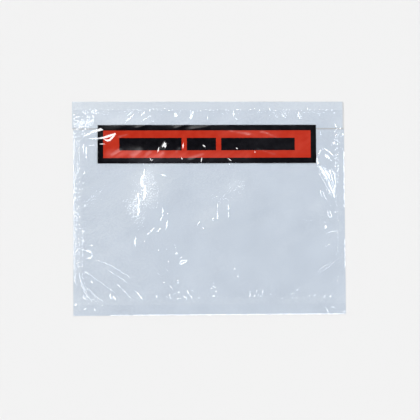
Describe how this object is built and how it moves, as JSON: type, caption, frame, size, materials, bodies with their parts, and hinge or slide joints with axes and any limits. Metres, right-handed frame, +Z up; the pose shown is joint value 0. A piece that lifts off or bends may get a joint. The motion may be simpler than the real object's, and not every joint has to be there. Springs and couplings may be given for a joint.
{
  "type": "packing list envelope",
  "caption": "Flat clear film pouch for shipping papers, with a red and black printed panel, a sealed rim, a loading slit across its back and a peel-off liner over its adhesive.",
  "frame": {"origin": "centre of the envelope's outline on the surface that the liner lies on", "axes": "+X across the envelope to the right, +Y towards the top edge where the slit is, +Z up out of the printed face"},
  "size_m": [0.1786, 0.1396, 0.0016],
  "materials": {
    "clear_film": "clear glossy polyethylene film, slack and creased",
    "adhesive_film": "translucent film with a pressure-sensitive adhesive coat",
    "liner_paper": "smooth bluish white release paper",
    "red_ink": "opaque red flexographic ink under a film gloss",
    "black_ink": "opaque black flexographic ink under a film gloss"
  },
  "bodies": {
    "root": {"front_film": "clear_film", "lower_back_film": "adhesive_film", "upper_back_film": "adhesive_film", "lower_liner": "liner_paper", "upper_liner": "liner_paper", "red_field": "red_ink", "black_border": "black_ink", "black_bar_1": "black_ink", "black_bar_2": "black_ink", "black_bar_3": "black_ink"}
  },
  "joints": []
}
